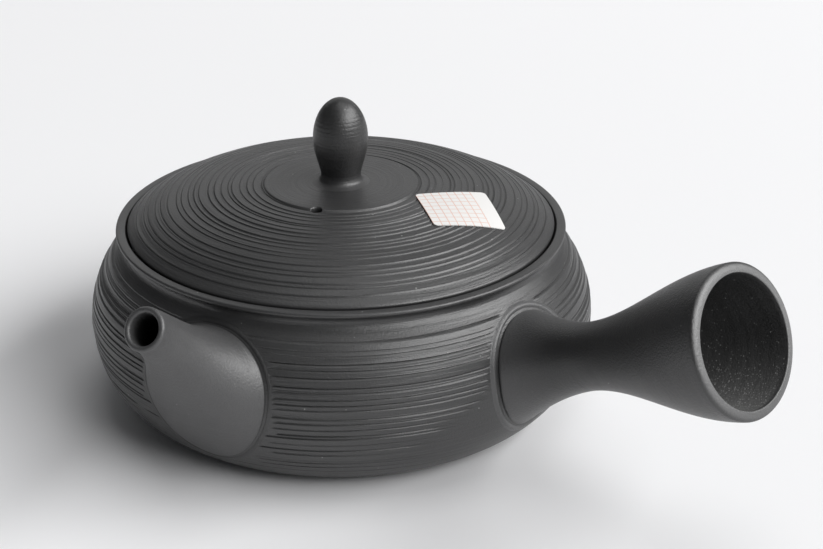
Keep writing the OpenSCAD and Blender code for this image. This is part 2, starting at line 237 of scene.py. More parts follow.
class LabelPaper(PropertyGroup):
    """Paper and print of the label."""

    paper: FloatVectorProperty(name="Paper", description="Colour of the paper", subtype="COLOR",
                               default=(0.76, 0.75, 0.735), min=0, max=1)
    print_ink: FloatVectorProperty(name="Grid", description="Colour of the printed grid", subtype="COLOR",
                                   default=(0.66, 0.36, 0.27), min=0, max=1)
    cells: FloatProperty(name="Grid squares", description="Grid squares along the label's length",
                         default=9, min=2, max=30)
    corner: FloatProperty(name="Corner", description="Radius of the label's corners", unit="LENGTH",
                          default=0.0010, min=0.0002, max=0.004, precision=5)


class StudioStage(PropertyGroup):
    """Floor and light."""

    floor: FloatVectorProperty(name="Floor", description="Colour of the floor", subtype="COLOR",
                               default=(0.88, 0.88, 0.89), min=0, max=1)
    key_power: FloatProperty(name="Key light", description="Power of the soft light on the right",
                             unit="POWER", default=405.0, min=0)
    top_power: FloatProperty(name="Top light", description="Power of the wide light overhead",
                             unit="POWER", default=12.0, min=0)
    back_power: FloatProperty(name="Back light", description="Power of the faint light behind the pot",
                              unit="POWER", default=3.2, min=0)
    sky: FloatProperty(name="Sky", description="Strength of the even light all round",
                       default=0.08, min=0, max=2)
    backdrop: FloatProperty(name="Backdrop", description="Strength of the sky as the camera alone sees it",
                            default=0.88, min=0, max=1)


def smooth(t):
    """Eased step: t times t times 3 less 2t, with t held between 0 and 1."""
    t = np.clip(t, 0, 1)
    return t * t * (3 - 2 * t)


def full_turn(count):
    """Angles of one turn in even steps."""
    return np.linspace(0, TURN, count + 1)[:-1]


def wave(theta, count, rng, turns=(1, 2, 3, 5, 8, 13)):
    """Rows of closed random waves round a turn: sums of sines with random phases and falling heights.

    The heights fall as one over the root of the number of waves, and a sum is scaled to lie near -1 to 1.
    """
    numbers = np.array(turns, float)[:, None]
    phase = rng.uniform(0, TURN, (count, numbers.size, 1))
    heights = 1 / np.sqrt(numbers)
    total = (heights * np.sin(numbers * theta + phase)).sum(1)
    return total / heights.sum() * 1.6


def belly_curve(z, foot, low, r):
    """Superellipse from the foot radius at height low out to r at the belly's height."""
    fall = np.clip((BELLY_Z - z) / (BELLY_Z - low), 0, 1)
    return foot + (r - foot) * (1 - fall ** BELLY_POWER) ** (1 / BELLY_POWER)


def shoulder_curve(z):
    """Superellipse from the belly in to the mouth's radius at the shoulder's height."""
    rise = np.clip((z - BELLY_Z) / (SHOULDER_Z - BELLY_Z), 0, 1)
    return MOUTH_R + (BODY_R - MOUTH_R) * (1 - rise ** SHOULDER_POWER) ** (1 / SHOULDER_POWER)


def outer_r(z):
    """Outer radius of the smooth pot at a height: belly curve below the belly and shoulder curve above it."""
    z = np.asarray(z, float)
    return np.where(z < BELLY_Z, belly_curve(np.maximum(z, 0), FOOT_R, 0, BODY_R), shoulder_curve(z))


def inner_r(z):
    """Radius of the inner wall at a height: the outer curves less the wall, down to the floor."""
    z = np.asarray(z, float)
    low = belly_curve(np.maximum(z, FLOOR_T), FOOT_R - WALL, FLOOR_T, BODY_R - WALL)
    return np.where(z < BELLY_Z, low, shoulder_curve(z) - WALL)


def crown(r):
    """Height of the smooth crown: its middle less its rise times a power of the share of the lid's radius."""
    return CROWN_Z - CROWN_RISE * (np.asarray(r, float) / LID_R) ** CROWN_POWER


DISC_Z = float(crown(DISC_R)) + DISC_H


def comb_place(k, pitch):
    """Uneven place of line k: k pitches, moved by the sines of 137 k and of 61 k and 40 degrees."""
    return pitch * (k + COMB_SWAY * (np.sin(np.radians(k * 137)) + np.sin(np.radians(k * 61 + 40))))


def handle_r(s):
    """Outer radius of the handle at distance s: a power curve to the waist, then an eased flare."""
    s = np.asarray(s, float)
    inward = np.maximum((WAIST_AT - s) / (WAIST_AT - ROOT_AT), 0)
    near = WAIST_R + (ROOT_R - WAIST_R) * inward ** WAIST_POWER
    far = WAIST_R + (END_R - WAIST_R) * smooth((s - WAIST_AT) / (END_AT - WAIST_AT))
    return np.where(s < WAIST_AT, near, far)


def round_points(r, theta, z):
    """Points at radii, angles and heights: radius times cosine, radius times sine, and height."""
    return np.stack(np.broadcast_arrays(r * np.cos(theta), r * np.sin(theta), z), -1)


def revolved(profile, theta):
    """Points of a profile of radius and height carried round the pot's axis."""
    return round_points(profile[:, :1], theta, profile[:, 1:])


def round_arc(mid, radius, start, stop, count):
    """Points of an arc in a profile: middle plus radius times cosine and sine, from start to stop degrees."""
    a = np.radians(np.linspace(start, stop, count))
    return np.stack([mid[0] + radius * np.cos(a), mid[1] + radius * np.sin(a)], -1)


def turned(points, angle):
    """Points turned about the pot's axis."""
    c, s = math.cos(angle), math.sin(angle)
    x, y, z = np.moveaxis(points, -1, 0)
    return np.stack([c * x - s * y, s * x + c * y, z], -1)


def spout_distance(points):
    """Distance outside the spout's root, in its side view: the egg's radius less that of the root."""
    x, y, z = np.moveaxis(turned(points, -SPOUT_ANGLE), -1, 0)
    rise = z - SPOUT_Z
    egg = 1 + ROOT_EGG * rise / np.maximum(np.hypot(y, rise), 1e-6)
    return np.where(x > 0, np.hypot(y / egg, rise) - SPOUT_ROOT_R, BODY_R)


def handle_aside(s):
    """How far the handle's rings lie to its back at distance s: an eased step from the waist to the root."""
    return ROOT_ASIDE * smooth((WAIST_AT - s) / (WAIST_AT - ROOT_AT))


def handle_distance(points):
    """Distance outside the handle's root: distance from the handle's bent axis less its radius there."""
    along = points @ HANDLE_WAY - HANDLE_Z * HANDLE_WAY[2]
    off = points - along[..., None] * HANDLE_WAY - handle_aside(along)[..., None] * HANDLE_SIDE
    return np.where(along > 0, np.linalg.norm(off, axis=-1) - handle_r(along), BODY_R)


def pot_normal(points):
    """Outward normal of the smooth pot at points on it: the radial way, and up by less the wall's slope."""
    x, y, z = np.moveaxis(points, -1, 0)
    r = np.hypot(x, y)
    step = 0.05
    slope = (outer_r(z + step) - outer_r(z - step)) / (2 * step)
    normal = np.stack([x / r, y / r, -slope], -1)
    return normal / np.linalg.norm(normal, axis=-1, keepdims=True)


def collar_rows(seam, way, share, spread):
    """Rows of clay smoothed by wiping outside a root, from where they run out on the pot to the crease at the
    seam.

    The seam's points move out along the pot by shares of the collar's width times spread. They rise out of
    the crease to a rounded ridge of share of its full height, and sink slowly into the pot.
    """
    seams = bpy.context.scene.teapot_seams
    normal = pot_normal(seam)
    flat = way - (way * normal).sum(-1, keepdims=True) * normal
    flat = flat / np.linalg.norm(flat, axis=-1, keepdims=True)
    u = np.linspace(COLLAR_FAR, COLLAR_NEAR, 13)[:, None, None]
    x, y, z = np.moveaxis(seam + u * spread * seams.collar_width / MM * flat, -1, 0)
    fit = (outer_r(z) + LUTE_GAP) / np.hypot(x, y)
    rows = np.stack([x * fit, y * fit, z], -1)
    run_out = smooth((u - 0.5) / 0.65)
    ridge = share * seams.collar_height / MM * smooth((u - COLLAR_NEAR) / 0.4) * (1 - run_out)
    sink = 1.6 * LUTE_GAP * run_out
    crease = CREASE_D * smooth((0.35 - u) / 0.2)
    return rows + (ridge - sink - crease) * pot_normal(rows)


def rolled(distance, roll):
    """How far a rolled edge of radius roll draws in at a distance from its end: a quarter circle."""
    return roll * (1 - np.sqrt(1 - np.clip(1 - distance / roll, 0, 1) ** 2))


def closed_volume(co, quads):
    """Signed volume of quads: a sixth of the sum of the triple products of their two triangles."""
    a, b, c, d = (co[quads[:, k]] for k in range(4))
    return (np.einsum("ij,ij->i", a, np.cross(b, c)) + np.einsum("ij,ij->i", a, np.cross(c, d))).sum() / 6


def grid_object(name, points, closed_rows=False, crease=40, values=None, uv=None):
    """Object of a grid of points in millimetres. Its columns join round, and its rows where asked.

    Doubled points at poles are welded, faces point outwards, and edges over crease degrees stay sharp.
    values are attributes of the points, and uv is the map of the label.
    """
    m, n = points.shape[:2]
    i = np.arange(m if closed_rows else m - 1)[:, None]
    j = np.arange(n)[None, :]
    up, on = (i + 1) % m, (j + 1) % n
    corners = np.broadcast_arrays(i * n + j, i * n + on, up * n + on, up * n + j)
    quads = np.stack(corners, -1).reshape(-1, 4)
    co = points.reshape(-1, 3) * MM
    if closed_volume(co, quads) < 0:
        quads = quads[:, ::-1]
    mesh = bpy.data.meshes.new(name)
    mesh.vertices.add(len(co))
    mesh.vertices.foreach_set("co", co.astype(np.float32).ravel())
    mesh.loops.add(quads.size)
    mesh.loops.foreach_set("vertex_index", quads.astype(np.int32).ravel())
    mesh.polygons.add(len(quads))
    mesh.polygons.foreach_set("loop_start", np.arange(0, quads.size, 4, dtype=np.int32))
    for key, value in (values or {}).items():
        layer = mesh.attributes.new(key, "FLOAT", "POINT")
        layer.data.foreach_set("value", np.broadcast_to(value, (m, n)).astype(np.float32).ravel())
    if uv is not None:
        layer = mesh.uv_layers.new(name="label")
        layer.data.foreach_set("uv", uv.reshape(-1, 2)[quads.ravel()].astype(np.float32).ravel())
    mesh.update(calc_edges=True)
    mesh.validate()
    weld(mesh)
    mesh.polygons.foreach_set("use_smooth", np.ones(len(mesh.polygons), bool))
    mesh.set_sharp_from_angle(angle=math.radians(crease))
    obj = bpy.data.objects.new(name, mesh)
    bpy.context.scene.collection.objects.link(obj)
    return obj


def weld(mesh, distance=1e-6):
    """Merges points of a mesh that lie within a distance of each other, in metres."""
    work = bmesh.new()
    work.from_mesh(mesh)
    bmesh.ops.remove_doubles(work, verts=work.verts, dist=distance)
    work.to_mesh(mesh)
    work.free()


def cut(obj, cutter):
    """Cuts a closed object out of another and removes it."""
    change = obj.modifiers.new("cut", "BOOLEAN")
    change.operation, change.solver, change.object = "DIFFERENCE", "EXACT", cutter
    ready = obj.evaluated_get(bpy.context.evaluated_depsgraph_get())
    old = obj.data
    cut_mesh = bpy.data.meshes.new_from_object(ready)
    obj.modifiers.clear()
    obj.data = cut_mesh
    cut_mesh.name = old.name
    bpy.data.meshes.remove(old)
    spent = cutter.data
    bpy.data.objects.remove(cutter)
    bpy.data.meshes.remove(spent)


def wire(tree, *pairs):
    """Links pairs of an output socket and an input socket."""
    for out, into in pairs:
        tree.links.new(out, into)


def node(tree, kind, inputs=(), **settings):
    """Adds a node, sets its settings and gives its inputs their plain values."""
    made = tree.nodes.new(kind)
    for key, value in settings.items():
        setattr(made, key, value)
    for key, value in dict(inputs).items():
        made.inputs[key].default_value = value
    return made


def colour_mix(tree, **colours):
    """Node that mixes two colours, A and B, with those that are given as plain values."""
    return node(tree, "ShaderNodeMix", {key: (*value, 1) for key, value in colours.items()}, data_type="RGBA")


def times(tree, factor=1):
    """Node that multiplies a value by a factor, or by what is linked to its second input."""
    return node(tree, "ShaderNodeMath", {1: factor}, operation="MULTIPLY")


def new_group(name, inputs, outputs):
    """Shader node group with named sockets, and its input and output nodes."""
    tree = bpy.data.node_groups.new(name, "ShaderNodeTree")
    for label, kind in inputs:
        tree.interface.new_socket(label, in_out="INPUT", socket_type=kind)
    for label, kind in outputs:
        tree.interface.new_socket(label, in_out="OUTPUT", socket_type=kind)
    return tree, tree.nodes.new("NodeGroupInput"), tree.nodes.new("NodeGroupOutput")


def new_material(name):
    """Material with nodes, its tree and its shader."""
    material = bpy.data.materials.new(name)
    material.use_nodes = True
    return material, material.node_tree, material.node_tree.nodes["Principled BSDF"]


def clay_body_group():
    """Group for what all the clay shares: cloudy smoke tone, fine grain and sparse pale specks."""
    name = "Clay body"
    if name in bpy.data.node_groups:
        return bpy.data.node_groups[name]
    tree, given, out = new_group(
        name, [("Position", "NodeSocketVector")],
        [("Tone", "NodeSocketFloat"), ("Grain", "NodeSocketFloat"), ("Specks", "NodeSocketFloat")])
    cloud = node(tree, "ShaderNodeTexNoise", {"Scale": 26, "Detail": 5, "Roughness": 0.6})
    tone = node(tree, "ShaderNodeMapRange", {"From Min": 0.36, "From Max": 0.64})
    grain = node(tree, "ShaderNodeTexNoise", {"Scale": 2200, "Detail": 3, "Roughness": 0.62})
    sandy = node(tree, "ShaderNodeMapRange", {"From Min": 0.30, "From Max": 0.70})
    both = node(tree, "ShaderNodeMix", {"Factor": 0.5})
    cell = node(tree, "ShaderNodeTexVoronoi", {"Scale": 620})
    dot = node(tree, "ShaderNodeMapRange", {"From Min": 0.13, "From Max": 0.05})
    shade = node(tree, "ShaderNodeSeparateColor")
    few = node(tree, "ShaderNodeMapRange", {"From Min": 0.90, "From Max": 0.99})
    specks = times(tree)
    for texture in (cloud, grain, cell):
        wire(tree, (given.outputs["Position"], texture.inputs["Vector"]))
    wire(tree, (cloud.outputs["Fac"], tone.inputs["Value"]), (grain.outputs["Fac"], sandy.inputs["Value"]),
         (tone.outputs["Result"], both.inputs["A"]), (sandy.outputs["Result"], both.inputs["B"]),
         (both.outputs["Result"], out.inputs["Tone"]), (grain.outputs["Fac"], out.inputs["Grain"]),
         (cell.outputs["Distance"], dot.inputs["Value"]), (cell.outputs["Color"], shade.inputs["Color"]),
         (shade.outputs["Red"], few.inputs["Value"]), (dot.outputs["Result"], specks.inputs[0]),
         (few.outputs["Result"], specks.inputs[1]), (specks.outputs[0], out.inputs["Specks"]))
    return tree


def turning_group():
    """Group for the marks of turning: noise drawn out long round the wheel and fine across it."""
    name = "Turning marks"
    if name in bpy.data.node_groups:
        return bpy.data.node_groups[name]
    tree, given, out = new_group(
        name, [("Position", "NodeSocketVector"), ("Across", "NodeSocketFloat")],
        [("Marks", "NodeSocketFloat")])
    parts = node(tree, "ShaderNodeSeparateXYZ")
    joined = node(tree, "ShaderNodeCombineXYZ")
    noise = node(tree, "ShaderNodeTexNoise", {"Scale": 1, "Detail": 3, "Roughness": 0.65})
    wire(tree, (given.outputs["Position"], parts.inputs["Vector"]))
    long, fine = 45, 1500
    for axis, source, scale in (("X", parts.outputs["X"], long), ("Y", parts.outputs["Y"], long),
                                ("Z", given.outputs["Across"], fine)):
        stretch = times(tree, scale)
        wire(tree, (source, stretch.inputs[0]), (stretch.outputs[0], joined.inputs[axis]))
    wire(tree, (joined.outputs["Vector"], noise.inputs["Vector"]),
         (noise.outputs["Fac"], out.inputs["Marks"]))
    return tree


def across_wheel(tree, position, way):
    """Socket with the distance across the turning marks: along way, or from the axis where way is None."""
    if way is None:
        flat = node(tree, "ShaderNodeVectorMath", {1: (1, 1, 0)}, operation="MULTIPLY")
        length = node(tree, "ShaderNodeVectorMath", operation="LENGTH")
        wire(tree, (position, flat.inputs[0]), (flat.outputs["Vector"], length.inputs[0]))
        return length.outputs["Value"]
    along = node(tree, "ShaderNodeVectorMath", {1: way}, operation="DOT_PRODUCT")
    wire(tree, (position, along.inputs[0]))
    return along.outputs["Value"]


def clay_material(name, dark, light, roughness, way, marks=1.0, grain=1.0, changes=()):
    """Fired clay: smoke tone between two colours, pale specks, uneven roughness, and grain and marks as bump.

    marks and grain are shares of the full depths. Each change names an attribute of the piece and the colour
    that the clay turns to where the attribute is 1. The one called dust turns it in grains.
    """
    finish = bpy.context.scene.teapot_clay
    material, tree, shader = new_material(name)
    shader.inputs["Specular IOR Level"].default_value = finish.gloss
    position = node(tree, "ShaderNodeTexCoord").outputs["Object"]
    body = node(tree, "ShaderNodeGroup", node_tree=clay_body_group())
    turning = node(tree, "ShaderNodeGroup", node_tree=turning_group())
    tint = colour_mix(tree, A=dark, B=light)
    spotted = colour_mix(tree, B=finish.speck)
    uneven = 0.07
    sheen = node(tree, "ShaderNodeMapRange", {"To Min": roughness - uneven, "To Max": roughness + uneven})
    turned_height = marks * finish.turning
    full = grain * finish.grain + turned_height
    height = node(tree, "ShaderNodeMix", {"Factor": turned_height / full})
    bump = node(tree, "ShaderNodeBump", {"Strength": 0.7, "Distance": full})
    wire(tree, (position, body.inputs["Position"]), (position, turning.inputs["Position"]),
         (across_wheel(tree, position, way), turning.inputs["Across"]),
         (body.outputs["Tone"], tint.inputs["Factor"]), (tint.outputs["Result"], spotted.inputs["A"]),
         (body.outputs["Specks"], spotted.inputs["Factor"]),
         (turning.outputs["Marks"], sheen.inputs["Value"]), (turning.outputs["Marks"], height.inputs["B"]),
         (sheen.outputs["Result"], shader.inputs["Roughness"]), (body.outputs["Grain"], height.inputs["A"]),
         (height.outputs["Result"], bump.inputs["Height"]), (bump.outputs["Normal"], shader.inputs["Normal"]))
    colour = spotted.outputs["Result"]
    for attribute, shade in changes:
        amount = node(tree, "ShaderNodeAttribute", attribute_name=attribute).outputs["Fac"]
        if attribute == "dust":
            amount = dust_cover(tree, amount, position)
        turn = colour_mix(tree, B=shade)
        wire(tree, (colour, turn.inputs["A"]), (amount, turn.inputs["Factor"]))
        colour = turn.outputs["Result"]
    wire(tree, (colour, shader.inputs["Base Color"]))
    return material


def tones(share):
    """Dark and light tone of the clay times a share, which is under 1 for painted shade in comb lines and
    beside the spout's crease, and for the darker clay of the handle and the knob.
    """
    finish = bpy.context.scene.teapot_clay
    return [tuple(share * part for part in colour) for colour in (finish.dark, finish.light)]


def dust_cover(tree, amount, position):
    """Socket with how far dust hides the clay: grains in as many cells as the amount says, over a film."""
    grains = node(tree, "ShaderNodeTexVoronoi", {"Scale": 2100})
    size = node(tree, "ShaderNodeMapRange", {"From Min": 0.40, "From Max": 0.15})
    shade = node(tree, "ShaderNodeSeparateColor")
    uneven = times(tree)
    few = node(tree, "ShaderNodeMath", operation="GREATER_THAN")
    part = times(tree)
    film = node(tree, "ShaderNodeMath", {1: 0.35}, operation="MULTIPLY_ADD")
    wire(tree, (position, grains.inputs["Vector"]), (grains.outputs["Distance"], size.inputs["Value"]),
         (grains.outputs["Color"], shade.inputs["Color"]), (amount, few.inputs[0]),
         (shade.outputs["Red"], few.inputs[1]), (size.outputs["Result"], uneven.inputs[0]),
         (shade.outputs["Green"], uneven.inputs[1]), (few.outputs[0], part.inputs[0]),
         (uneven.outputs[0], part.inputs[1]), (amount, film.inputs[0]), (part.outputs[0], film.inputs[2]))
    return film.outputs[0]


def paper_material():
    """Paper with a thin printed grid that stops short of one edge, on the label's own map."""
    look = bpy.context.scene.teapot_label
    material, tree, shader = new_material("label_paper")
    shader.inputs["Roughness"].default_value = 0.8
    sheet = node(tree, "ShaderNodeUVMap", uv_map="label")
    parts = node(tree, "ShaderNodeSeparateXYZ")
    either = node(tree, "ShaderNodeMath", operation="MAXIMUM")
    wire(tree, (sheet.outputs["UV"], parts.inputs["Vector"]))
    for k, axis in enumerate("XY"):
        count = times(tree, look.cells)
        swing = node(tree, "ShaderNodeMath", {1: 0.5}, operation="PINGPONG")
        thin = node(tree, "ShaderNodeMapRange", {"From Min": 0.08, "From Max": 0.02})
        wire(tree, (parts.outputs[axis], count.inputs[0]), (count.outputs[0], swing.inputs[0]),
             (swing.outputs[0], thin.inputs["Value"]), (thin.outputs["Result"], either.inputs[k]))
    printed = node(tree, "ShaderNodeMapRange", {"From Min": 0.80, "From Max": 0.78})
    ink = times(tree)
    faint = times(tree, 0.8)
    colour = colour_mix(tree, A=look.paper, B=look.print_ink)
    place = node(tree, "ShaderNodeTexCoord")
    fibre = node(tree, "ShaderNodeTexNoise", {"Scale": 3000, "Detail": 3})
    bump = node(tree, "ShaderNodeBump", {"Strength": 0.25, "Distance": 0.00004})
    wire(tree, (parts.outputs["X"], printed.inputs["Value"]), (either.outputs[0], ink.inputs[0]),
         (printed.outputs["Result"], ink.inputs[1]), (ink.outputs[0], faint.inputs[0]),
         (faint.outputs[0], colour.inputs["Factor"]), (colour.outputs["Result"], shader.inputs["Base Color"]),
         (place.outputs["Object"], fibre.inputs["Vector"]), (fibre.outputs["Fac"], bump.inputs["Height"]),
         (bump.outputs["Normal"], shader.inputs["Normal"]))
    return material


def settle(obj, body, slot, material, *nodes):
    """Gives a finished piece its material and body, and lets it stand for CAD nodes. The slot argument is not
    used.
    """
    obj.data.materials.clear()
    obj.data.materials.append(material)
    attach(obj, body)
    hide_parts(*nodes)


def comb_band(centres, theta, surface, weakest, tilted, seed):
    """Rows of points for comb lines across a smooth surface: places along it and heights over it.

    Each line has seven rows: level, burr, flank, bottom, flank, burr and level. Its depth is a random share
    of the full one, from weakest up, and the last line has the full depth. Depth and place change round the
    turn by random waves. The bands between lines tip in or out by about tilted times the terrace setting.
    surface(place, chance) gives how strongly lines show at a place, from 0 to 1. Returns the places, the
    heights and how deep in a line each point lies, from 0 to 1.
    """
    comb = bpy.context.scene.teapot_comb
    rng = np.random.default_rng(seed)
    k = len(centres)
    half = comb.width / MM / 2
    across = np.array([-1.4, -0.9, -0.45, 0.0, 0.45, 0.9, 1.4])[:, None]
    dip = np.array([0.0, 0.0, 0.55, 1.0, 0.55, 0.0, 0.0])[:, None]
    lip = np.array([0.0, 1.0, 0.0, 0.0, 0.0, 0.6, 0.0])[:, None]
    tip = np.array([1.0, 0.5, 0.0, 0.0, 0.0, -0.5, -1.0])[:, None]
    least = rng.uniform(weakest, 1.0, (k, 1))
    least[-1] = 1
    strength = (least * np.clip(0.88 + 0.16 * wave(theta, k, rng), 0.4, 1.0))[:, None, :]
    wander = comb.wander / MM * (wave(theta, 1, rng) + 0.3 * wave(theta, k, rng))
    lean = rng.uniform(-0.6, 1.0, (k, 1))
    tilt = tilted * comb.tilt / MM * lean * (0.8 + 0.4 * wave(theta, k, rng, (1, 2, 4)))
    place = np.asarray(centres)[:, None, None] + across * half + wander[:, None, :]
    depth = comb.depth / MM * strength * dip
    rise = comb.burr / MM * strength * lip + tilt[:, None, :] * tip
    place, height, bottom = (rows.reshape(-1, theta.size) for rows in (place, rise - depth, strength * dip))
    seen = surface(place, np.repeat(rng.uniform(0, 1, k), across.size))
    return place, height * seen, bottom * seen


class TEAPOT_OT_pot(Operator):
    """Builds the thrown pot with its comb lines, rim, inside and port"""

    bl_idname = "teapot.pot"
    bl_label = "Pot"

    def execute(self, context):
        seams = context.scene.teapot_seams
        theta = self.columns()
        lines = np.floor((COMB_TOP - COMB_END) / COMB_PITCH)
        centres = COMB_TOP - comb_place(np.arange(lines, -1, -1), COMB_PITCH)

        def shown(z, chance):
            """Lines run out at uneven distances from the roots, and low down further off and more softly."""
            spout, handle = self.distances(z, theta)
            low = smooth((LOW_Z - z) / LOW_SPAN)
            fade = seams.fade / MM
            start = 0.4 + chance[:, None] * (0.6 + 3 * low)
            beside_spout = smooth((spout - start) / fade)
            beside_handle = smooth((handle - start - 1 - 5 * low) / (fade + 12 * low))
            return beside_spout * beside_handle * (0.8 + 0.2 * smooth((z - 12) / 16))

        z, relief, line = comb_band(centres, theta, shown, POT_WEAKEST, POT_TILT, POT_SEED)
        low = np.linspace(0, 1, 15)[:-1] ** 2 * (centres[0] - 0.7)
        z = np.concatenate([low[:, None] + 0 * theta, z])
        relief = np.concatenate([np.zeros((low.size, theta.size)), relief])
        wall = round_points(outer_r(z) + relief, theta, z)
        foot = revolved(np.array([[0, 0], [FOOT_R * 0.5, 0], [FOOT_R * 0.9, 0]]), theta)
        points = np.concatenate([foot, wall, revolved(self.rim(), theta), self.inside(theta)])
        depth = np.zeros(points.shape[:2])
        # Painted shade: how deep in a comb line each point lies, so that the clay darkens towards the
        # groove's bottom
        depth[len(foot) + low.size:len(foot) + len(wall)] = line
        obj = grid_object("pot", points, values={"line": depth})
        cut(obj, self.port())
        finish = context.scene.teapot_clay
        # The line attribute paints shade: the clay turns darker towards the bottom of each comb line
        material = clay_material("combed_clay", finish.dark, finish.light, finish.roughness, (0, 0, 1),
                                 changes=[("line", tones(POT_GROOVE_SHADE)[0])])
        settle(obj, "pot", "clay", material, "pot_body")
        return {"FINISHED"}

    @staticmethod
    def columns():
        """Angles round the pot, closest at the sides of the two roots: a density summed and inverted."""
        fine = np.linspace(0, TURN, 7200)
        weight = np.ones_like(fine)
        for middle, side in ((ROOT_ASIDE / BODY_R, 12.5), (SPOUT_ANGLE, 14.5)):
            off = np.degrees(np.abs((fine - middle + math.pi) % TURN - math.pi))
            weight += 4 * smooth(2 - np.abs(off - side) / 4)
        total = np.concatenate([[0], np.cumsum((weight[1:] + weight[:-1]) / 2)])
        return np.interp(np.linspace(0, total[-1], POT_COLUMNS + 1)[:-1], total, fine)

    @staticmethod
    def distances(z, theta):
        """Distances of points of the smooth wall from the spout's and the handle's root."""
        points = round_points(outer_r(z), theta, z)
        return spout_distance(points), handle_distance(points)

    @staticmethod
    def rim():
        """Profile of the hollow cove, the round lip, the recess and the ledge, down to the mouth."""
        low = np.array([outer_r(COVE_Z), COVE_Z])
        pull = np.array([RIM_R - COVE_IN, RIM_Z - COVE_DROP])
        high = LIP_MID - np.array([0, LIP_R])
        t = np.linspace(0.06, 0.97, 13)[:, None]
        cove = (1 - t) ** 2 * low + 2 * t * (1 - t) * pull + t * t * high
        foot = np.array([RECESS_R - RECESS_TAPER, LEDGE_Z])
        lip = np.concatenate([round_arc(LIP_MID, LIP_R, -80, 86, 14),
                              round_arc((RECESS_R + BRIM_R, RIM_Z - BRIM_R), BRIM_R, 94, 180, 7)])
        down = lip[-1] + (foot - lip[-1]) * np.array([[0.5], [0.9]])
        ledge = np.array([foot, [MOUTH_R + 2, LEDGE_Z], [MOUTH_R + SOFT, LEDGE_Z], [MOUTH_R, LEDGE_Z - SOFT],
                          [MOUTH_R, SHELF_Z + 0.4], [MOUTH_R + SOFT, SHELF_Z]])
        return np.concatenate([cove, lip, down, ledge])

    @staticmethod
    def inside(theta):
        """Inner wall and floor, with the low ridges of throwing: the inner curve plus a spiral of sines."""
        top = SHELF_Z - 2
        z = (top - (top - FLOOR_T) * smooth(np.linspace(0, 1, 40)))[:, None]
        ridge = WALL_RIDGE * np.sin(TURN * z / WALL_RIDGE_PITCH + theta)
        ridge = ridge * smooth((z - FLOOR_T) / 3) * smooth((top - z) / 3)
        wall = round_points(inner_r(z) + ridge, theta, z)
        share = np.linspace(0.96, 0, 16)[:, None]
        r = share * (FOOT_R - WALL)
        coil = FLOOR_RIDGE * np.sin(TURN * r / FLOOR_RIDGE_PITCH + theta)
        coil = coil * smooth((1 - share) * 8) * smooth(share * 6)
        return np.concatenate([wall, round_points(r, theta, FLOOR_T + coil)])

    @staticmethod
    def port():
        """Closed round bar that cuts the port behind the spout: a circle carried out through the wall."""
        a = full_turn(PORT_COLUMNS)
        start = float(inner_r(PORT_Z)) - 2 * WALL
        reach = start + np.array([0, 0, 4, 4])[:, None] * WALL
        size = np.array([0, 1, 1, 0])[:, None] * PORT_R
        bar = np.stack([reach + 0 * a, size * np.sin(a), PORT_Z + size * np.cos(a)], -1)
        return grid_object("port_bar", turned(bar, SPOUT_ANGLE))


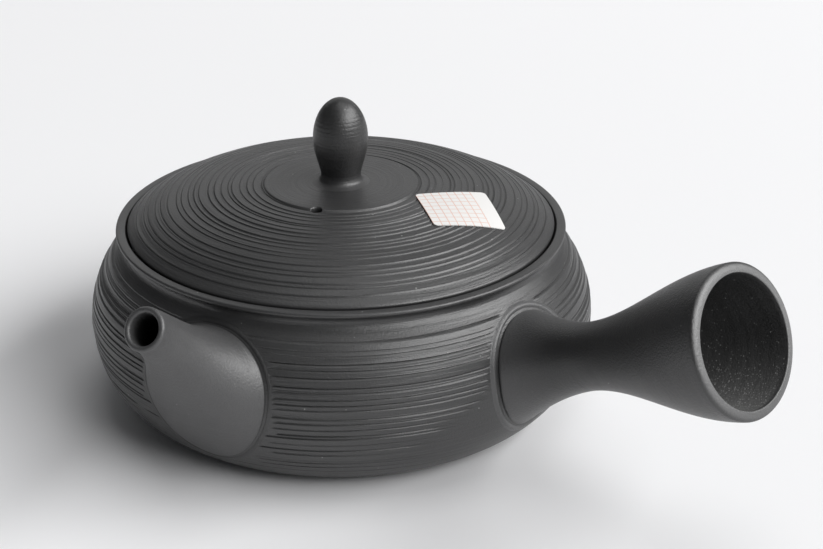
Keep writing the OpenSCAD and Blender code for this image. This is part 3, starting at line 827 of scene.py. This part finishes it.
class TEAPOT_OT_spout(Operator):
    """Builds the luted spout with its collar, rolled root, flared lip and bore"""

    bl_idname = "teapot.spout"
    bl_label = "Spout"

    def execute(self, context):
        roll = context.scene.teapot_seams.roll / MM
        a = full_turn(SPOUT_COLUMNS)
        t = np.linspace(0, 1, SPOUT_ROWS)[:, None] ** SPOUT_CROWD
        skin_root = np.stack([SPOUT_ROOT_R * np.sin(a) * (1 + ROOT_EGG * np.cos(a)),
                              SPOUT_Z + SPOUT_ROOT_R * np.cos(a)])
        bore_root = np.stack([PORT_R * np.sin(a), PORT_Z + PORT_R * np.cos(a)])
        skin = self.line(skin_root, SPOUT_Z, (ROOT_RUN, ROOT_FULL), (NECK_R, TIP_R), a, t)
        lift = np.linalg.norm(skin - skin[:1], axis=-1)
        side = skin_root - np.array([[0.0], [SPOUT_Z]])
        side = side / np.linalg.norm(side, axis=0)
        outward = np.stack([0 * a, side[0], side[1]], -1)
        scratch = SCRATCH_D * sum(np.exp(-((lift - place) / SCRATCH_W) ** 2) for place in SCRATCHES)
        scratch = scratch * smooth(0.5 + np.sin(a - 0.3))
        collar = collar_rows(skin[0], outward, *SPOUT_COLLAR)
        skin = skin - (rolled(lift, roll) + scratch)[..., None] * outward
        skin = np.concatenate([collar, skin])
        wall = (TIP_R - TIP_BORE_R) / 2
        turn = np.linspace(0, math.pi, 12)[1:-1, None]
        lip = self.tip(TIP_BORE_R + wall + wall * np.cos(turn), a)
        lip = lip + (wall * np.sin(turn))[..., None] * self.way()
        bore = self.line(bore_root, PORT_Z, (BORE_RUN, 0), (NECK_R - 2 * wall, TIP_BORE_R), a,
                         np.linspace(1, 0, 30)[:, None])
        u = np.linspace(0, 1, 8)[1:-1, None, None]
        seat = self.on_pot((1 - u) * bore_root + u * (skin_root - roll * side)) - 0.3 * u * self.way()
        points = turned(np.concatenate([skin, lip, bore, seat]), SPOUT_ANGLE)
        rows = np.arange(len(points))[:, None]
        # The inside attribute paints shade into the spout's bore, from just inside the tip's lip
        values = {"inside": smooth((rows - len(skin) - len(lip)) / 3), "collar": rows < len(collar)}
        obj = grid_object("spout_bell", points, closed_rows=True, values=values)
        finish = context.scene.teapot_clay
        # The collar attribute paints shade: a dark band on the spout's collar beside its crease
        material = clay_material("smooth_clay", finish.smooth_dark, finish.smooth_light,
                                 finish.smooth_roughness, (0, 0, 1), marks=0.12, grain=1.5,
                                 changes=[("collar", tones(COLLAR_SHADE)[0]), ("inside", finish.inside)])
        settle(obj, "pot", "smooth_clay", material, "spout")
        return {"FINISHED"}

    @staticmethod
    def way():
        """Direction in which the tip points."""
        return np.array([math.cos(TIP_TILT), 0, math.sin(TIP_TILT)])

    @staticmethod
    def tip(r, a):
        """Ring of radius r in the tip's mouth: the tip's centre plus r times two axes square to its way."""
        r = r + 0 * a
        return np.stack([TIP_REACH - r * np.cos(a) * math.sin(TIP_TILT), r * np.sin(a),
                         TIP_Z + r * np.cos(a) * math.cos(TIP_TILT)], -1)

    @staticmethod
    def on_pot(p):
        """Points on the pot at a distance to the side and a height: the rest of its radius is their reach."""
        side, z = np.moveaxis(p, -2, 0)
        return np.stack([np.sqrt((outer_r(z) + LUTE_GAP) ** 2 - side ** 2), side, z], -1)

    def line(self, root, middle, swell, ends, a, t):
        """Cubic curves from a ring on the pot, out and in to the middle, along the neck and to the tip.

        swell gives their run out of the pot and how far the draw is held back above the middle, and ends
        gives the radii of the neck and the tip.
        """
        run, full = swell
        start = self.on_pot(root)
        rise = root[1] - middle
        held = rise - full * np.maximum(rise, 0) ** 2 / (2 * SPOUT_ROOT_R)
        out = np.stack([run + 0 * a, -ROOT_DRAW * root[0], -ROOT_DRAW * (held - ROOT_LEAN)], -1)
        pull = self.tip(ends[0], a) - NECK_RUN * self.way()
        t = t[..., None]
        return ((1 - t) ** 3 * start + 3 * t * (1 - t) ** 2 * (start + out) + 3 * t * t * (1 - t) * pull
                + t ** 3 * self.tip(ends[1], a))


class TEAPOT_OT_handle(Operator):
    """Builds the hollow handle with its collar, rolled root, rounded lip and dusty inside"""

    bl_idname = "teapot.handle"
    bl_label = "Handle"

    def execute(self, context):
        roll = context.scene.teapot_seams.roll / MM
        phi = full_turn(HANDLE_COLUMNS)
        skin_root = self.meets_pot(phi, 0)
        bore_root = self.meets_pot(phi, HANDLE_WALL)
        last = END_AT - END_ROUND
        s = skin_root + (last - skin_root) * np.linspace(0, 1, HANDLE_ROWS)[:, None] ** HANDLE_CROWD
        skin = self.ring(s, handle_r(s) - rolled(s - skin_root, roll), phi)
        seam = self.ring(skin_root, handle_r(skin_root), phi)
        collar = collar_rows(seam, self.outward(phi), *HANDLE_COLLAR)
        # Partly slip left by wiping and partly a painted pool of light: the clay turns paler on the collar
        # and fades along the root
        wiped = [np.ones((len(collar), phi.size)), smooth(1 - (s - skin_root) / WIPED_AND_LIT_REACH)]
        skin = np.concatenate([collar, skin])
        end = float(handle_r(last))
        outer = round_arc((0, last), END_ROUND, 8, 90, 10)
        outer[:, 0] = end - LIP_SLOPE * (END_ROUND - outer[:, 0])
        mouth = end - HANDLE_WALL
        inner = round_arc((mouth + MOUTH_ROUND, END_AT - MOUTH_ROUND), MOUTH_ROUND, 90, 180, 6)
        lip = np.concatenate([outer, inner])
        lip = self.ring(lip[:, 1:] + 0 * phi, lip[:, :1], phi)
        back = (END_AT - MOUTH_ROUND) + (bore_root - END_AT + MOUTH_ROUND) * np.linspace(0, 1, 64)[1:, None]
        ridge = (BORE_RIDGE * np.sin(TURN * back / BORE_RIDGE_PITCH + phi)
                 + FINE_RIDGE * np.sin(TURN * back / FINE_RIDGE_PITCH - 2 * phi))
        bore = self.ring(back, handle_r(np.minimum(back, last)) - HANDLE_WALL + ridge, phi)
        u = np.linspace(0, 1, 6)[1:-1, None, None]
        seat = (1 - u) * bore[-1] + u * skin[0]
        points = np.concatenate([skin, lip, bore, seat])
        rows = np.arange(len(points))
        first, stop = len(skin) + len(outer) + 2, len(points) - len(seat)
        inside = smooth((rows - first) / 5) * (rows < stop)
        low = np.clip(-np.sin(phi), 0, 1)[None, :]
        mouthward = np.zeros(len(points))
        mouthward[len(skin) + len(lip):stop] = np.linspace(1, 0.2, len(bore))
        values = {
            "dust": inside[:, None] * (0.05 + 0.85 * mouthward[:, None] * low ** 1.3),
            # Partly wear and partly a painted highlight: the lip's rounding turns pale, less on its underside
            "worn": smooth(1.5 - np.abs(rows - len(skin) - len(outer) + 0.5) / 5)[:, None] * (1 - 0.5 * low),
            "wiped": np.concatenate([*wiped, np.zeros((len(points) - len(skin), phi.size))]),
        }
        obj = grid_object("handle_trumpet", points, closed_rows=True, values=values)
        finish = context.scene.teapot_clay
        changes = [("wiped", finish.wiped), ("worn", finish.worn), ("dust", finish.speck)]
        material = clay_material("handle_clay", *tones(HANDLE_TONE), finish.roughness, tuple(HANDLE_WAY),
                                 marks=0.3, grain=2.0, changes=changes)
        settle(obj, "pot", "clay", material, "handle")
        return {"FINISHED"}

    @staticmethod
    def outward(phi):
        """Directions square to the handle's axis at angles round it."""
        return np.cos(phi)[:, None] * HANDLE_SIDE + np.sin(phi)[:, None] * HANDLE_UP

    def ring(self, s, r, phi):
        """Points at distance s along the handle's bent axis, r off it, at angle phi round it."""
        axis = np.array([0, 0, HANDLE_Z]) + s[..., None] * HANDLE_WAY
        bent = axis + handle_aside(s)[..., None] * HANDLE_SIDE
        return bent + (r + 0 * phi)[..., None] * self.outward(phi)

    def meets_pot(self, phi, wall):
        """Distances at which lines of the skin or bore reach the pot, by halving a span again and again."""
        near, far = np.full(phi.shape, ROOT_AT - 4 * HANDLE_WALL), np.full(phi.shape, WAIST_AT)
        for _ in range(40):
            middle = (near + far) / 2
            x, y, z = self.ring(middle, handle_r(middle) - wall, phi).T
            out = np.hypot(x, y) > outer_r(z) + LUTE_GAP
            near, far = np.where(out, near, middle), np.where(out, middle, far)
        return (near + far) / 2


class TEAPOT_OT_lid(Operator):
    """Builds the lid with its comb lines, smooth disc, flange and vent"""

    bl_idname = "teapot.lid"
    bl_label = "Lid"

    def execute(self, context):
        theta = full_turn(LID_COLUMNS)
        outermost = LID_R - LID_MARGIN
        count = np.floor((outermost - DISC_R - 1) / LID_PITCH)
        centres = outermost - comb_place(np.arange(count, -1, -1), LID_PITCH)
        r, relief, line = comb_band(centres, theta, lambda place, chance: LID_SHOWN,
                                    LID_WEAKEST, LID_TILT, LID_SEED)
        r = np.maximum(r, DISC_R + SOFT + 0.01 * np.arange(len(r))[:, None])
        combed = round_points(r, theta, crown(r) + relief)
        disc = revolved(self.disc(), theta)
        points = np.concatenate([disc, combed, revolved(self.edge(), theta)])
        depth = np.zeros(points.shape[:2])
        # Painted shade: how deep in a comb line each point lies, so that the clay darkens towards the
        # groove's bottom
        depth[len(disc):len(disc) + len(combed)] = line
        obj = grid_object("lid_crown", points[::-1], values={"line": depth[::-1]})
        cut(obj, self.vent())
        finish = context.scene.teapot_clay
        # The line attribute paints shade: the clay turns darker towards the bottom of each comb line
        material = clay_material("lid_clay", finish.dark, finish.light, finish.roughness, None,
                                 changes=[("line", tones(LID_GROOVE_SHADE)[0])])
        settle(obj, "lid", "clay", material, "lid")
        return {"FINISHED"}

    @staticmethod
    def disc():
        """Profile of the smooth disc, from its middle to its rounded step down to the crown."""
        flat = np.stack([np.linspace(0, DISC_R - 2 * SOFT, 14), np.full(14, DISC_Z)], -1)
        step = np.array([[DISC_R - SOFT, DISC_Z - 0.03], [DISC_R - 0.1, DISC_Z - 0.12],
                         [DISC_R, crown(DISC_R) + 0.05], [DISC_R + 0.15, crown(DISC_R + 0.15) - 0.06]])
        return np.concatenate([flat, step])

    @staticmethod
    def edge():
        """Profile of the smooth margin, the rounded edge, the seat, the flange and the underside."""
        low, tip, inner = LEDGE_Z + SEAT_GAP, LEDGE_Z - FLANGE_D, FLANGE_R - FLANGE_W
        seat = LID_R - RECESS_TAPER
        margin = np.linspace(LID_R - LID_MARGIN + 2 * SOFT, LID_R - 2 * SOFT, 5)
        margin = np.stack([margin, crown(margin)], -1)
        bend = np.array([[LID_R - 0.25, crown(LID_R - 0.4) - 0.1], [LID_R - 0.05, EDGE_Z - 0.05],
                         [LID_R, EDGE_Z - 0.4]])
        below = np.array([[seat, low + 0.2], [seat - 0.2, low], [FLANGE_R + SOFT, low],
                          [FLANGE_R, low - SOFT], [FLANGE_R, tip + 1], [FLANGE_R - SOFT, tip + SOFT],
                          [FLANGE_R - 1, tip], [inner + 0.8, tip], [inner + 0.2, tip + 0.2],
                          [inner, tip + 0.8], [inner, crown(inner) - LID_T - 1.0]])
        under = np.linspace(inner, 0, 15)
        return np.concatenate([margin, bend, below, np.stack([under, crown(under) - LID_T], -1)])

    @staticmethod
    def vent():
        """Closed bar that cuts the vent: a circle carried down, widened where it leaves the top."""
        a = full_turn(VENT_COLUMNS)
        z = float(crown(DISC_R)) + np.array([3, 3, 0.35, 0, -0.3, -6, -6])[:, None]
        size = np.array([0, VENT_R + 0.2, VENT_R + 0.15, VENT_R + 0.05, VENT_R, VENT_R, 0])[:, None]
        middle = DISC_R * np.array([math.cos(VENT_ANGLE), math.sin(VENT_ANGLE), 0])
        return grid_object("vent_bar", round_points(size, a, z) + middle)


class TEAPOT_OT_knob(Operator):
    """Builds the turned knob with its flared foot"""

    bl_idname = "teapot.knob"
    bl_label = "Knob"

    def execute(self, context):
        theta = full_turn(KNOB_COLUMNS)
        low = np.linspace(0, 1, KNOB_ROWS) ** KNOB_CROWD * KNOB_WIDE_H
        high = KNOB_WIDE_H + (KNOB_H - KNOB_WIDE_H) * np.sin(np.linspace(0, QUARTER, KNOB_ROWS)[1:])
        h = np.concatenate([low, high])
        rng = np.random.default_rng(KNOB_SEED)
        lines = KNOB_LINE * wave(h / KNOB_H * TURN, 1, rng, (23, 31, 44, 57))[0]
        lines = (lines * smooth((KNOB_H - 2 - h) / 4) * smooth((h - 0.6) / 1.5))[:, None]
        r = np.maximum(self.curve(h)[:, None] + lines * (0.7 + 0.3 * np.sin(theta + h[:, None])), 0)
        r[-1] = 0
        points = round_points(r, theta, DISC_Z + h[:, None])
        base = revolved(np.array([[0, DISC_Z], [KNOB_FOOT_R * 0.6, DISC_Z]]), theta)
        foot = np.concatenate([np.ones(len(base)), smooth(1 - h / KNOB_NECK_H)])[:, None]
        obj = grid_object("knob_egg", np.concatenate([base, points]), crease=60, values={"foot": foot})
        roughness = context.scene.teapot_clay.roughness + 0.02
        material = clay_material("knob_clay", *tones(KNOB_TONE), roughness, (0, 0, 1), marks=0.6,
                                 changes=[("foot", tones(1)[1])])
        settle(obj, "lid", "clay", material, "knob")
        return {"FINISHED"}

    @staticmethod
    def curve(h):
        """Radius of the knob: a hollow foot, a sine out to the widest height and a rounded top."""
        flare = np.clip(1 - h / KNOB_NECK_H, 0, 1) ** KNOB_FOOT_POWER
        fillet = KNOB_FILLET * np.clip(1 - h / KNOB_FILLET, 0, 1) ** 3
        foot = KNOB_NECK_R + (KNOB_FOOT_R - KNOB_NECK_R) * flare + fillet
        u = np.clip((h - KNOB_NECK_H) / (KNOB_WIDE_H - KNOB_NECK_H), 0, 1)
        swell = KNOB_NECK_R + (KNOB_R - KNOB_NECK_R) * np.sin(QUARTER * u ** KNOB_POWER)
        u = np.clip((h - KNOB_WIDE_H) / (KNOB_H - KNOB_WIDE_H), 0, 1)
        top = KNOB_R * np.sqrt(1 - u ** 2)
        return np.where(h < KNOB_NECK_H, foot, np.where(h < KNOB_WIDE_H, swell, top))


class TEAPOT_OT_label(Operator):
    """Builds the pasted paper label with its printed grid"""

    bl_idname = "teapot.label"
    bl_label = "Label"

    def execute(self, context):
        outline = self.outline(context.scene.teapot_label.corner / MM)
        top = np.linspace(0, 1, LABEL_RINGS)[:, None, None] * outline
        flat = np.concatenate([top, top[::-1]])
        lift = np.repeat([LABEL_T, 0], LABEL_RINGS)[:, None] + PASTE_GAP
        c, s = math.cos(LABEL_TURN), math.sin(LABEL_TURN)
        x = LABEL_AT * math.cos(LABEL_ANGLE) + c * flat[..., 0] - s * flat[..., 1]
        y = LABEL_AT * math.sin(LABEL_ANGLE) + s * flat[..., 0] + c * flat[..., 1]
        points = np.stack([x, y, crown(np.hypot(x, y)) + lift], -1)
        obj = grid_object("label_sheet", points, uv=flat / LABEL_L + 0.5)
        settle(obj, "lid", "paper", paper_material(), "paper_label")
        return {"FINISHED"}

    @staticmethod
    def outline(corner):
        """Rectangle with round corners: four quarter circles, and even steps along the sides between them."""
        half = np.array([LABEL_L, LABEL_W]) / 2 - corner
        arcs = []
        for k, signs in enumerate(((1, 1), (-1, 1), (-1, -1), (1, -1))):
            a = np.linspace(0, QUARTER, 7) + k * QUARTER
            arcs.append(half * signs + corner * np.stack([np.cos(a), np.sin(a)], -1))
        sides = []
        for arc, after in zip(arcs, arcs[1:] + arcs[:1]):
            run = arc[-1] + (after[0] - arc[-1]) * np.linspace(0, 1, 22)[1:-1, None]
            sides += [arc, run]
        return np.concatenate(sides)


class TEAPOT_OT_strainer(Operator):
    """Gives the strainer inside the pot its clay"""

    bl_idname = "teapot.strainer"
    bl_label = "Strainer"

    def execute(self, context):
        finish = context.scene.teapot_clay
        material = clay_material("strainer_clay", finish.dark, finish.light, finish.roughness + 0.05,
                                 (0, 0, 1), marks=0.1)
        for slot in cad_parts["strainer"].material_slots:
            slot.material = material
        return {"FINISHED"}


class TEAPOT_OT_stage(Operator):
    """Builds the camera, the pale floor and the soft light"""

    bl_idname = "teapot.stage"
    bl_label = "Stage"

    def execute(self, context):
        scene = context.scene
        stage = scene.teapot_stage
        scene.view_settings.view_transform = "Standard"
        self.camera(scene)
        self.floor(stage)
        self.light("key_light", KEY_AT, KEY_SIZE, stage.key_power)
        self.light("top_light", TOP_AT, TOP_SIZE, stage.top_power)
        self.light("back_light", BACK_AT, BACK_SIZE, stage.back_power)
        world = bpy.data.worlds.new("studio")
        world.use_nodes = True
        tree = world.node_tree
        sky = tree.nodes["Background"]
        sky.inputs["Color"].default_value = SKY_TINT
        path = node(tree, "ShaderNodeLightPath")
        shown = node(tree, "ShaderNodeMapRange", {"To Min": stage.sky, "To Max": stage.backdrop})
        wire(tree, (path.outputs["Is Camera Ray"], shown.inputs["Value"]),
             (shown.outputs["Result"], sky.inputs["Strength"]))
        scene.world = world
        return {"FINISHED"}

    @staticmethod
    def camera(scene):
        """Camera at its place, turned by its right and up directions."""
        lens = bpy.data.cameras.new("photo_camera")
        lens.sensor_width, lens.lens = FILM, FOCAL
        camera = bpy.data.objects.new("photo_camera", lens)
        back = CAMERA_RIGHT.cross(CAMERA_UP).normalized()
        place = Matrix((CAMERA_RIGHT, CAMERA_UP, back)).transposed().to_4x4()
        place.translation = CAMERA_AT * MM
        camera.matrix_world = place
        scene.collection.objects.link(camera)
        scene.camera = camera

    @staticmethod
    def floor(stage):
        """Wide square floor at the foot's height, as one face."""
        mesh = bpy.data.meshes.new("floor")
        corners = [(x * FLOOR_REACH, y * FLOOR_REACH, 0) for x, y in ((-1, -1), (1, -1), (1, 1), (-1, 1))]
        mesh.from_pydata(corners, [], [(0, 1, 2, 3)])
        obj = bpy.data.objects.new("floor", mesh)
        bpy.context.scene.collection.objects.link(obj)
        material, _, shader = new_material("pale_floor")
        shader.inputs["Base Color"].default_value = (*stage.floor, 1)
        shader.inputs["Roughness"].default_value = 0.9
        shader.inputs["Specular IOR Level"].default_value = 0.1
        mesh.materials.append(material)

    @staticmethod
    def light(name, off, size, power):
        """Area light of a width and height, off to the right, away and up, turned to the pot's middle."""
        place = RIGHT * off[0] + AWAY * off[1] + Vector((0, 0, off[2]))
        data = bpy.data.lights.new(name, "AREA")
        data.shape, data.energy = "RECTANGLE", power
        data.size, data.size_y = size
        obj = bpy.data.objects.new(name, data)
        obj.location = place
        obj.rotation_euler = (Vector((0, 0, AIM_Z)) - place).to_track_quat("-Z", "Y").to_euler()
        bpy.context.scene.collection.objects.link(obj)


class TEAPOT_PT_build(Panel):
    """Lists the pieces and their settings"""

    bl_idname = "TEAPOT_PT_build"
    bl_label = "Teapot"
    bl_space_type = "VIEW_3D"
    bl_region_type = "UI"
    bl_category = "Teapot"

    def draw(self, context):
        for operator in OPERATORS:
            self.layout.operator(operator.bl_idname)
        for name, group in SETTINGS.items():
            box = self.layout.box()
            for prop in group.__annotations__:
                box.prop(getattr(context.scene, name), prop)


SETTINGS = {
    "teapot_clay": ClayFinish,
    "teapot_comb": CombLines,
    "teapot_seams": Seams,
    "teapot_label": LabelPaper,
    "teapot_stage": StudioStage,
}
OPERATORS = (TEAPOT_OT_stage, TEAPOT_OT_pot, TEAPOT_OT_spout, TEAPOT_OT_strainer, TEAPOT_OT_handle,
             TEAPOT_OT_lid, TEAPOT_OT_knob, TEAPOT_OT_label)


def register():
    for group in SETTINGS.values():
        bpy.utils.register_class(group)
    for name, group in SETTINGS.items():
        setattr(bpy.types.Scene, name, PointerProperty(type=group))
    for made in (*OPERATORS, TEAPOT_PT_build):
        bpy.utils.register_class(made)


def unregister():
    for made in (TEAPOT_PT_build, *reversed(OPERATORS)):
        bpy.utils.unregister_class(made)
    for name, group in reversed(SETTINGS.items()):
        delattr(bpy.types.Scene, name)
        bpy.utils.unregister_class(group)


def main():
    register()
    bpy.ops.teapot.stage()
    bpy.ops.teapot.pot()
    bpy.ops.teapot.spout()
    bpy.ops.teapot.strainer()
    bpy.ops.teapot.handle()
    bpy.ops.teapot.lid()
    bpy.ops.teapot.knob()
    bpy.ops.teapot.label()


if __name__ == "__main__":
    main()
